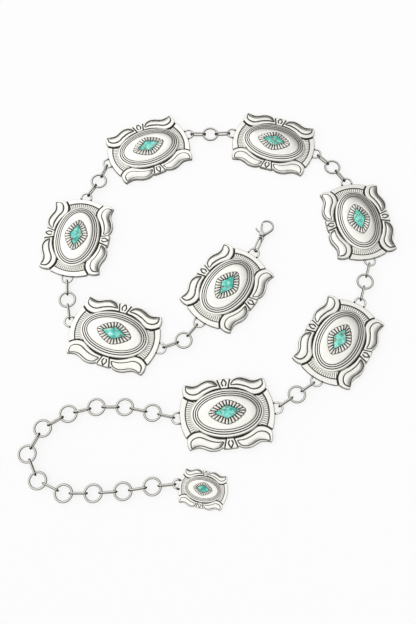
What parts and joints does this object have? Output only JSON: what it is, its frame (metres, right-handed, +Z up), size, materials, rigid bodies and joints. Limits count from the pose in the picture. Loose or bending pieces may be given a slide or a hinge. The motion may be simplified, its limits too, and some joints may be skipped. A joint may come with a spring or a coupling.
{
  "type": "chain belt",
  "caption": "Concho chain belt lying in a spiral: oval cast conchos with turquoise lozenges, rings and oval links between them, a spring clasp, and a chain with a small concho.",
  "frame": {"origin": "middle of the belt's outline, on the surface that it lies on", "axes": "+Z up from the surface; +Y along the longest side of the layout, away from the viewer; +X to the viewer's right"},
  "size_m": [0.3116, 0.3646, 0.0095],
  "materials": {
    "cast_silver": "bright silver-tone casting, darkened in its recesses",
    "silver_wire": "polished silver-tone wire",
    "clasp_silver": "polished silver-tone casting",
    "turquoise": "polished, with brown matrix veins"
  },
  "bodies": {
    "belt": {"concho_1": "cast_silver", "concho_2": "cast_silver", "concho_3": "cast_silver", "concho_4": "cast_silver", "concho_5": "cast_silver", "concho_6": "cast_silver", "concho_7": "cast_silver", "concho_8": "cast_silver", "small_concho": "cast_silver", "stone_1": "turquoise", "stone_2": "turquoise", "stone_3": "turquoise", "stone_4": "turquoise", "stone_5": "turquoise", "stone_6": "turquoise", "stone_7": "turquoise", "stone_8": "turquoise", "small_stone": "turquoise", "ring_1": "silver_wire", "ring_2": "silver_wire", "ring_3": "silver_wire", "ring_4": "silver_wire", "ring_5": "silver_wire", "ring_6": "silver_wire", "ring_7": "silver_wire", "link_1": "silver_wire", "link_2": "silver_wire", "link_3": "silver_wire", "link_4": "silver_wire", "link_5": "silver_wire", "link_6": "silver_wire", "link_7": "silver_wire", "link_8": "silver_wire", "link_9": "silver_wire", "link_10": "silver_wire", "link_11": "silver_wire", "link_12": "silver_wire", "link_13": "silver_wire", "link_14": "silver_wire", "chain": "silver_wire", "clasp_link": "silver_wire", "clasp_body": "clasp_silver"},
    "lever": {"clasp_lever": "clasp_silver"}
  },
  "joints": [
    {"name": "clasp_lever_hinge", "type": "hinge", "parent": "belt", "child": "lever", "pos_m": [0.03827, 0.05375, 0.0021], "axis": [0, 0, -1], "range_deg": [0, 25], "stiffness_Nm_per_rad": 0.01, "springref_deg": -20.05}
  ]
}
